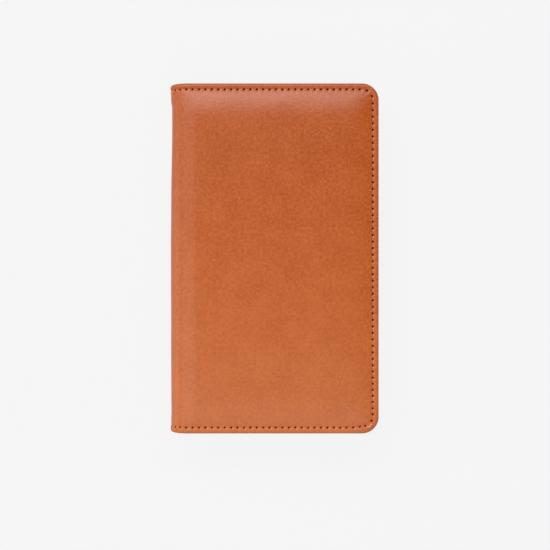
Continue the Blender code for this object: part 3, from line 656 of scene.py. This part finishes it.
def lining_rows():
    """Rows of a lining: its glued back, its cut edge, and its face, drawn down a little along the seam.

    Insets are in millimetres, those of the back and the face with how far their columns are thinned, and
    those of the edge with their rise.
    """
    back = [(HEAD / MM, 4), (60, 4), (25, 4), (10, 4), (5, 4), (3.4, 3), (LINING_INSET / MM, 2)]
    edge = [(2.5, 0.32), (2.56, 0.43), (2.7, 0.5), (2.95, 0.47), (3.25, 0.36), (3.6, 0.46)]
    face = [(4.0, 3), (5, 4), (8, 4), (14, 4), (25, 4), (40, 4), (60, 4), (80, 4), (HEAD / MM, 4)]
    rows = [(level, inset * MM, partial(lining_lift, rise=0.0), None) for inset, level in back]
    rows += [(2, inset * MM, partial(lining_lift, rise=rise * MM), None) for inset, rise in edge]
    rows += [(level, inset * MM, partial(lining_lift, rise=LINING), None) for inset, level in face]
    return rows


def tubes(points, normals, radius, first):
    """Threads: rings of a tube round each line of points, flattest along the normals, closed at both ends.

    Points and normals are arrays of threads by points by 3. A ring is the thread's middle plus its radius
    times the cosine along the normal and the sine sideways. Gives the points, their faces, whose numbers
    start at first, and each point's turn round the thread, share of the thread and number of the thread.
    """
    count, length = points.shape[:2]
    ahead = np.gradient(points, axis=1)
    sideways = np.cross(ahead, normals)
    sideways /= np.linalg.norm(sideways, axis=-1, keepdims=True)
    turn = np.arange(THREAD_SIDES) / THREAD_SIDES
    outward = np.cos(turn * math.tau)[:, None] * normals[:, :, None] * THREAD_FLAT
    ring = outward + np.sin(turn * math.tau)[:, None] * sideways[:, :, None]
    tube = points[:, :, None] + radius * ring
    index = first + np.arange(count * length * THREAD_SIDES).reshape(count, length, THREAD_SIDES)
    ends = np.concatenate([index[:, 0, ::-1], index[:, -1]])
    run_on = np.linspace(0, 1, length)[:, None]
    which = np.arange(count)[:, None, None]
    twist = np.stack(np.broadcast_arrays(turn, run_on, which), -1).reshape(-1, 3)
    return tube.reshape(-1, 3), round_quads(index).tolist() + ends.tolist(), twist


def sewn(name, runs, back=False):
    """One mesh of several runs of stitches, each with its lines of points, their normals and its radius."""
    points, faces, twists = [], [], []
    first = 0
    for line, normals, radius in runs:
        tube, sheet, twist = tubes(line, normals, radius, first)
        points.append(tube)
        faces += sheet
        twists.append(twist)
        first += len(tube)
    return closed_mesh(name, on_half(np.concatenate(points), back), faces, {"twist": np.concatenate(twists)})


def dive(share, bed, crown):
    """Height of a thread along one stitch: out of a needle hole, over to the next and down again."""
    return bed + (crown - bed) * smooth(np.minimum(share, 1 - share), 0.05, 0.33)


def seam_threads(name, back):
    """The seam's stitches on the leather's outer face, and their other side on the lining.

    On the outer face each stitch slants: its end nearest the spine or the head swells up beside the seam's
    line, away from the head or, along the fore-edge, away from the spine. The rest sinks into the leather.
    The front cover has a loose stitch that bows out along half a sine wave, and the two stitches across
    the middle of the spine.
    """
    share = STITCH_SHARES
    whole = np.arange(0, int(LAST))
    along = np.interp(whole[:, None] + share, STITCH_MARKS, SEAM_MARKS)
    if not back:
        across = np.interp(0, STITCH_MARKS, SEAM_MARKS) * (1 - 2 * share)
        along = np.concatenate([along, across[None], SEAM_LENGTH + across[None]])
    loose = np.zeros_like(along)
    loose[LOOSE_STITCH] = 0 if back else LOOSE_BOW * np.sin(share * math.pi)
    onward = np.broadcast_to(share, along.shape).copy()
    onward[LOOSE_STITCH:] = 1 - share
    swollen = bell(onward, SWELL_MIDDLE, SWELL_SPAN)
    sunk = smooth(onward, SINK_FROM, SINK_TO) * (loose == 0)
    aside = np.full_like(along, ASIDE)
    aside[:HEAD_STITCHES] = HEAD_ASIDE
    seam = SEAM + stray(np.interp(along, SEAM_MARKS, STITCH_MARKS))
    outer_girth, outer_y = course(along, seam + aside * swollen - loose)
    outer = dive(share, STITCH_BED, STITCH_CROWN - VALLEY - STITCH_SINK * sunk)
    outer = outer + spine_sway(outer_girth, outer_y) + 0.6 * loose
    outer_radius = THREAD + (STITCH_SWELL * swollen + 0.3 * loose)[:, :, None, None]
    inner_girth, inner_y = course(along, seam)
    inner = -depth_of_case(inner_girth) - dive(share, INNER_BED, INNER_CROWN)
    runs = []
    for girth, y, lift, radius, side in (
        (outer_girth, outer_y, outer, outer_radius, 1),
        (inner_girth, inner_y, inner, THREAD, -1),
    ):
        line = bound(girth, y, lift)
        runs.append((line, side * (bound(girth, y, lift + MM) - line) / MM, radius))
    return sewn(name, runs, back)


def graded(low, high, edge):
    """Places between two ends, close together at both and about a panel's step apart between them."""
    near = np.array([0, 0.04, 0.15, 0.32, 0.6, 1.0]) * edge
    middle = np.linspace(low + 2 * edge, high - 2 * edge, max(int((high - low) / PANEL_STEP), 4))
    return np.concatenate([low + near, middle, high - near[::-1]])


def panel_height(u, v):
    """Slack of a pocket's panel above its sewn edges: a low swell, and a bow that grows towards its mouth."""
    swelling = PANEL_SWELL * np.sin(math.pi * u) * np.sin(math.pi * np.clip(v, 0, 1) * 0.9)
    return swelling + PANEL_BOW * np.sin(math.pi * u) ** 0.8 * np.clip(v, 0, 1) ** 5


def pocket(node, inward):
    """A pocket's panel over the box of its CAD node: two skins that meet in a half round at every edge.

    inward is the sign of Z from the lining into the binder. The stitches of the hem draw in a groove.
    """
    low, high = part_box(node)
    half = PANEL / 2
    x, y = np.meshgrid(graded(low.x, high.x, half), graded(low.y, high.y, half), indexing="ij")
    u = (x - low.x) / (high.x - low.x)
    v = (y - low.y) / (high.y - low.y)
    near = np.minimum(np.minimum(x - low.x, high.x - x), np.minimum(y - low.y, high.y - y))
    inside = np.clip(near / half, 0, 1)
    thick = half * np.sqrt(1 - (1 - inside) ** 2)
    groove = HEM_GROOVE * bell(high.y - y, HEM_STITCH, 0.35 * MM) * inside
    middle = (low.z + high.z) / 2 + inward * panel_height(u, v)
    heights = middle + inward * (thick - groove), middle - inward * thick
    points = np.concatenate([np.stack([x, y, z], -1).reshape(-1, 3) for z in heights])
    blank = np.concatenate([np.stack([x, y, 0 * x + cut], -1).reshape(-1, 3) for cut in PANEL_CUTS])
    index = np.arange(x.size).reshape(x.shape)
    quads = np.stack([index[:-1, :-1], index[1:, :-1], index[1:, 1:], index[:-1, 1:]], -1).reshape(-1, 4)
    faces = quads.tolist() + (quads[:, ::-1] + x.size).tolist()
    return closed_mesh(node + "_panel", points, faces, {"blank": blank})


def pocket_sewing(node, inward, lines):
    """Stitches on a pocket's panel along straight lines, whose ends are in shares of the panel's sides."""
    low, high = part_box(node)
    share = np.linspace(0, 1, 7)
    gap = 0.06
    size = np.array([high.x - low.x, high.y - low.y])
    runs = []
    for start, end in np.array(lines):
        count = max(int(np.linalg.norm((end - start) * size) / POCKET_PITCH), 1)
        part = (np.arange(count)[:, None] + gap + (1 - 2 * gap) * share) / count
        u, v = (start[i] + part * (end[i] - start[i]) for i in (0, 1))
        height = PANEL / 2 + panel_height(u, v) + dive(share, -0.35 * MM, 0.08 * MM)
        z = (low.z + high.z) / 2 + inward * height
        line = np.stack([low.x + u * size[0], low.y + v * size[1], z], -1)
        runs.append((line, np.broadcast_to((0.0, 0.0, inward), line.shape), POCKET_THREAD))
    return sewn(node + "_sewing", runs)


def half_ring(node, side):
    """A half ring: a round wire along an arc from the tip, where it meets its other half, down to the blade.

    The tip is eased with a small half-round; the foot is spread a little where it is riveted to the blade.
    """
    low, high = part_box(node)
    wire = (high.y - low.y) / 2
    centre = np.array([high.x - RING_RADIUS - wire, (low.y + high.y) / 2, MIDDLE])
    tip = QUARTER - TIP_GAP / RING_RADIUS
    foot = -math.acos(RING_FOOT / RING_RADIUS) - FOOT_SUNK / RING_RADIUS
    rounding = TIP_EASE * np.array([0, 0.1, 0.3, 0.6, 1.0])
    share = np.concatenate([rounding, np.linspace(1.5 * TIP_EASE, 1, WIRE_STEPS)])
    angle = tip + (foot - tip) * share
    eased_tip = np.sqrt(1 - (1 - np.clip(share / TIP_EASE, 0, 1)) ** 2)
    thick = wire * (TIP_BLUNT + (1 - TIP_BLUNT) * eased_tip)
    thick = thick * (1 + FOOT_SPREAD * smooth(share, 0.95, 1.0))
    out = np.stack([np.sin(angle), 0 * angle, side * np.cos(angle)], -1)
    turn = np.arange(WIRE_SIDES) / WIRE_SIDES * math.tau
    ring = np.cos(turn)[:, None] * out[:, None] + np.sin(turn)[:, None] * np.array([0.0, 1.0, 0.0])
    tube = (centre + RING_RADIUS * out)[:, None] + thick[:, None, None] * ring
    index = np.arange(len(share) * WIRE_SIDES).reshape(-1, WIRE_SIDES)
    faces = round_quads(index).tolist() + [index[0, ::-1].tolist(), index[-1].tolist()]
    return closed_mesh(node + "_wire", tube.reshape(-1, 3), faces, {})


def rivet(node):
    """A rivet, a section turned about an axis along X: domed head with an eased rim, shank and flat foot."""
    low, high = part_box(node)
    head = (high.y - low.y) / 2
    rise = np.linspace(0, QUARTER, 10)
    dome = np.stack([head * np.sin(rise), high.x - RIVET_DOME * (1 - np.cos(rise))], -1)
    rim = [[head, high.x - RIVET_RIM], [head - RIVET_EASE, high.x - RIVET_HEAD]]
    shank = [[RIVET_SHANK, high.x - RIVET_HEAD], [RIVET_SHANK, low.x + RIVET_FOOT_HEIGHT]]
    foot = [[RIVET_FOOT, low.x + RIVET_FOOT_HEIGHT], [RIVET_FOOT, low.x], [0, low.x]]
    section = np.concatenate([dome, rim, shank, foot])
    turn = np.arange(RIVET_SIDES) / RIVET_SIDES * math.tau
    y = (low.y + high.y) / 2 + section[:, :1] * np.cos(turn)
    z = (low.z + high.z) / 2 + section[:, :1] * np.sin(turn)
    points = np.stack([np.broadcast_to(section[:, 1:], y.shape), y, z], -1).reshape(-1, 3)
    faces = round_quads(np.arange(y.size).reshape(y.shape)).tolist()
    mesh = closed_mesh(node + "_turned", points, faces, {})
    mesh.set_sharp_from_angle(angle=math.radians(40))
    return mesh


def eased(node, width):
    """A copy of a pressed metal node, its triangles merged into faces and its edges eased by a bevel."""
    bm = bmesh.new()
    bm.from_mesh(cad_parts[node].data)
    bmesh.ops.remove_doubles(bm, verts=bm.verts, dist=2e-6)
    bmesh.ops.dissolve_limit(bm, angle_limit=math.radians(0.6), verts=bm.verts, edges=bm.edges)
    bmesh.ops.recalc_face_normals(bm, faces=bm.faces)
    mesh = bpy.data.meshes.new(node + "_eased")
    bm.to_mesh(mesh)
    bm.free()
    mesh.materials.clear()
    mesh.shade_smooth()
    mesh.set_sharp_from_angle(angle=math.radians(28))
    made = piece(node + "_pressed", mesh, NICKEL)
    bevel = made.modifiers.new("ease", "BEVEL")
    bevel.width = width
    bevel.segments = 2
    bevel.limit_method = "ANGLE"
    bevel.angle_limit = math.radians(32)
    bevel.use_clamp_overlap = True
    bevel.harden_normals = True
    return made


def bind(made):
    """Bakes a piece's transform into its mesh."""
    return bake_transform(made)


def dress_covers():
    """Leather, lining and seam of both halves of the case."""
    leather, lining = case_rows(), lining_rows()
    for side, back in (("front", False), ("back", True)):
        cut = BACK_CUT if back else 0.0
        mesh = half_case(side + "_leather", leather, back, cut)
        case = piece(side + "_leather", mesh, TAN)
        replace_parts(bind(case), side + "_skin", side + "_pad", "spine_skin")
        mesh = half_case(side + "_inner_sheet", lining, back, cut + LINING_CUT)
        sheet = piece(side + "_inner_sheet", mesh, LINING_LEATHER)
        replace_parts(bind(sheet), side + "_lining", "spine_lining")
        thread = piece(side + "_seam", seam_threads(side + "_seam", back), THREAD_FINISH)
        bind(thread)


def height_of(node):
    """Height of a node's box along the spine."""
    low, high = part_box(node)
    return high.y - low.y


def side_lines(foot):
    """Stitch lines up both sides of a pocket, from a share of its height to its mouth."""
    return [((side, foot), (side, 1)) for side in (POCKET_SIDE, 1 - POCKET_SIDE)]


def round_lines(foot):
    """Stitch lines up both sides of a pocket, and across its foot at a share of its height."""
    return side_lines(foot) + [((POCKET_SIDE, foot), (1 - POCKET_SIDE, foot))]


def dress_pocket(node, body, inward, lines):
    """A pocket's panel, its stitch lines and the stitches of its hem."""
    panel = piece(node + "_panel", pocket(node, inward), LINING_LEATHER)
    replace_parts(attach(panel, body), node)
    lining = body.split("_")[0] + "_inner_sheet"
    hem = 1 - HEM_STITCH / height_of(node)
    lines = lines + [tuple((end, hem) for end in HEM_ENDS)]
    sewing = piece(node + "_sewing", pocket_sewing(node, inward, lines), THREAD_FINISH)
    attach(sewing, body)


def dress_pockets():
    """The three stepped card pockets of the front cover and the slip pocket of the back cover.

    The sides of the upper and middle pockets are sewn only above the next pocket, which covers the rest.
    """
    stepped = ["front_card_pocket_" + name for name in ("upper", "middle", "lower")]
    for node, covering in zip(stepped, stepped[1:]):
        covered = height_of(covering) / height_of(node)
        dress_pocket(node, "front_cover", -1, side_lines(covered + CARD_CLEAR))
    dress_pocket(stepped[-1], "front_cover", -1, round_lines(CARD_FOOT))
    dress_pocket("back_slip_pocket", "back_cover", 1, round_lines(SLIP_FOOT))


def dress_mechanism():
    """Rings, rivets, housing, blades, levers and pins in plated steel."""
    for name, side in (("front", 1), ("back", -1)):
        body = name + "_ring_blade"
        for number in range(1, 7):
            node = f"{name}_half_ring_{number}"
            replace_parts(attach(piece(node + "_wire", half_ring(node, side), NICKEL), body), node)
        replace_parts(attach(eased(name + "_blade", 0.1 * MM), body), name + "_blade")
    for end in ("top", "bottom"):
        node = "rivet_" + end
        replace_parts(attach(piece(node + "_turned", rivet(node), NICKEL), "spine"), node)
        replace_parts(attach(eased("lever_" + end, 0.18 * MM), end + "_lever"), "lever_" + end)
        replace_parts(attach(eased("lever_pin_" + end, 0.12 * MM), "spine"), "lever_pin_" + end)
    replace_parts(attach(eased("ring_housing", 0.14 * MM), "spine"), "ring_housing")


def finish_hidden_layers():
    """Boards, cards and stiffener keep their CAD shapes inside the leather."""
    for node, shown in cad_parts.items():
        if node.endswith(("_board", "_infill_card", "_stiffener")):
            shown.data.materials.clear()
            shown.data.materials.append(BOARD)


def looked_at(start):
    """1 for what the camera sees, straight, mirrored or through glass; 0 for what only lights the binder."""
    seen = start.node("LightPath", None, None, "Is Camera Ray")
    mirrored = Value(start.tree, seen.socket.node.outputs["Is Glossy Ray"])
    through = Value(start.tree, seen.socket.node.outputs["Is Transmission Ray"])
    return (seen + mirrored + through).math("MINIMUM", 1.0)


def set_floor():
    """A pale floor that keeps a soft shadow."""
    material = bpy.data.materials.new("pale_floor")
    material.use_nodes = True
    nodes = material.node_tree.nodes
    nodes.remove(nodes["Principled BSDF"])
    start = Value(material.node_tree)
    card = start.node("BsdfDiffuse", None, {"Color": (0.80, 0.80, 0.80, 1)})
    glow = start.node("Emission", None, {"Color": (0.922, 0.922, 0.922, 1), "Strength": 1.0})
    surface = start.node("MixShader", None, {0: looked_at(start) * 0.95, 1: card, 2: glow})
    start.plug(nodes["Material Output"], {"Surface": surface})
    mesh = bpy.data.meshes.new("floor")
    far = 6.0
    corners = [(-far, -far, 0), (far, -far, 0), (far, far, 0), (-far, far, 0)]
    mesh.from_pydata(corners, [], [(0, 1, 2, 3)])
    mesh.materials.append(material)
    floor = bpy.data.objects.new("floor", mesh)
    bpy.context.scene.collection.objects.link(floor)


def set_room():
    """A dim room with a pale wall low down all round."""
    world = bpy.data.worlds.new("room")
    world.use_nodes = True
    nodes = world.node_tree.nodes
    nodes.remove(nodes["Background"])
    start = Value(world.node_tree)
    dim = start.node("Background", None, {"Color": (0.95, 0.97, 1.0, 1), "Strength": 0.02})
    wall = start.node("Background", None, {"Color": (0.9, 0.9, 0.9, 1), "Strength": 1.0})
    height = start.node("TexCoord", None, None, "Generated").split()[2]
    share = looked_at(start) * (1 - height.step(0.3, 0.55))
    surface = start.node("MixShader", None, {0: share, 1: dim, 2: wall})
    start.plug(nodes["World Output"], {"Surface": surface})
    bpy.context.scene.world = world


def add_light(name, place, width, height, power):
    """A soft light, a rectangle that faces the floor under the middle of the binder."""
    lamp = bpy.data.lights.new(name, "AREA")
    lamp.shape = "RECTANGLE"
    lamp.size = width
    lamp.size_y = height
    lamp.energy = power
    made = bpy.data.objects.new(name, lamp)
    made.location = place
    made.rotation_euler = (-Vector(place)).to_track_quat("-Z", "Y").to_euler()
    bpy.context.scene.collection.objects.link(made)


def set_lights():
    """A window at the head with its bay, windows at the spine's side, and soft cards round the rest."""
    add_light("window", (0, 0.65, 0.89), 0.9, 0.22, 5.0)
    add_light("window_bay", (-0.28, 0.58, 0.89), 0.6, 0.22, 1.7)
    add_light("right_card", (1.0, 0.0, 0.2), 0.5, 0.3, 3.2)
    add_light("corner_window", (-0.67, 0.75, 0.65), 0.95, 0.2, 3.0)
    add_light("side_window", (-1.1, -0.1, 0.43), 0.9, 0.9, 2.6)
    add_light("side_card", (-0.36, 0.0, 0.64), 0.7, 0.26, 0.78)
    add_light("foot_card", (-0.04, -0.31, 0.6), 0.95, 0.4, 1.58)
    add_light("low_card", (0.0, -0.5, 0.23), 0.4, 0.3, 0.5)


def set_camera():
    """Straight above the front cover, a little below its middle, as the photograph was framed."""
    data = bpy.data.cameras.new("camera")
    data.sensor_width = 36
    data.lens = 75
    camera = bpy.data.objects.new("camera", data)
    camera.location = (0.33 * MM, -8.97 * MM, 0.651)
    bpy.context.scene.collection.objects.link(camera)
    bpy.context.scene.camera = camera


dress_covers()
dress_pockets()
dress_mechanism()
finish_hidden_layers()
set_floor()
set_room()
set_lights()
set_camera()
bpy.context.scene.view_settings.view_transform = "Standard"
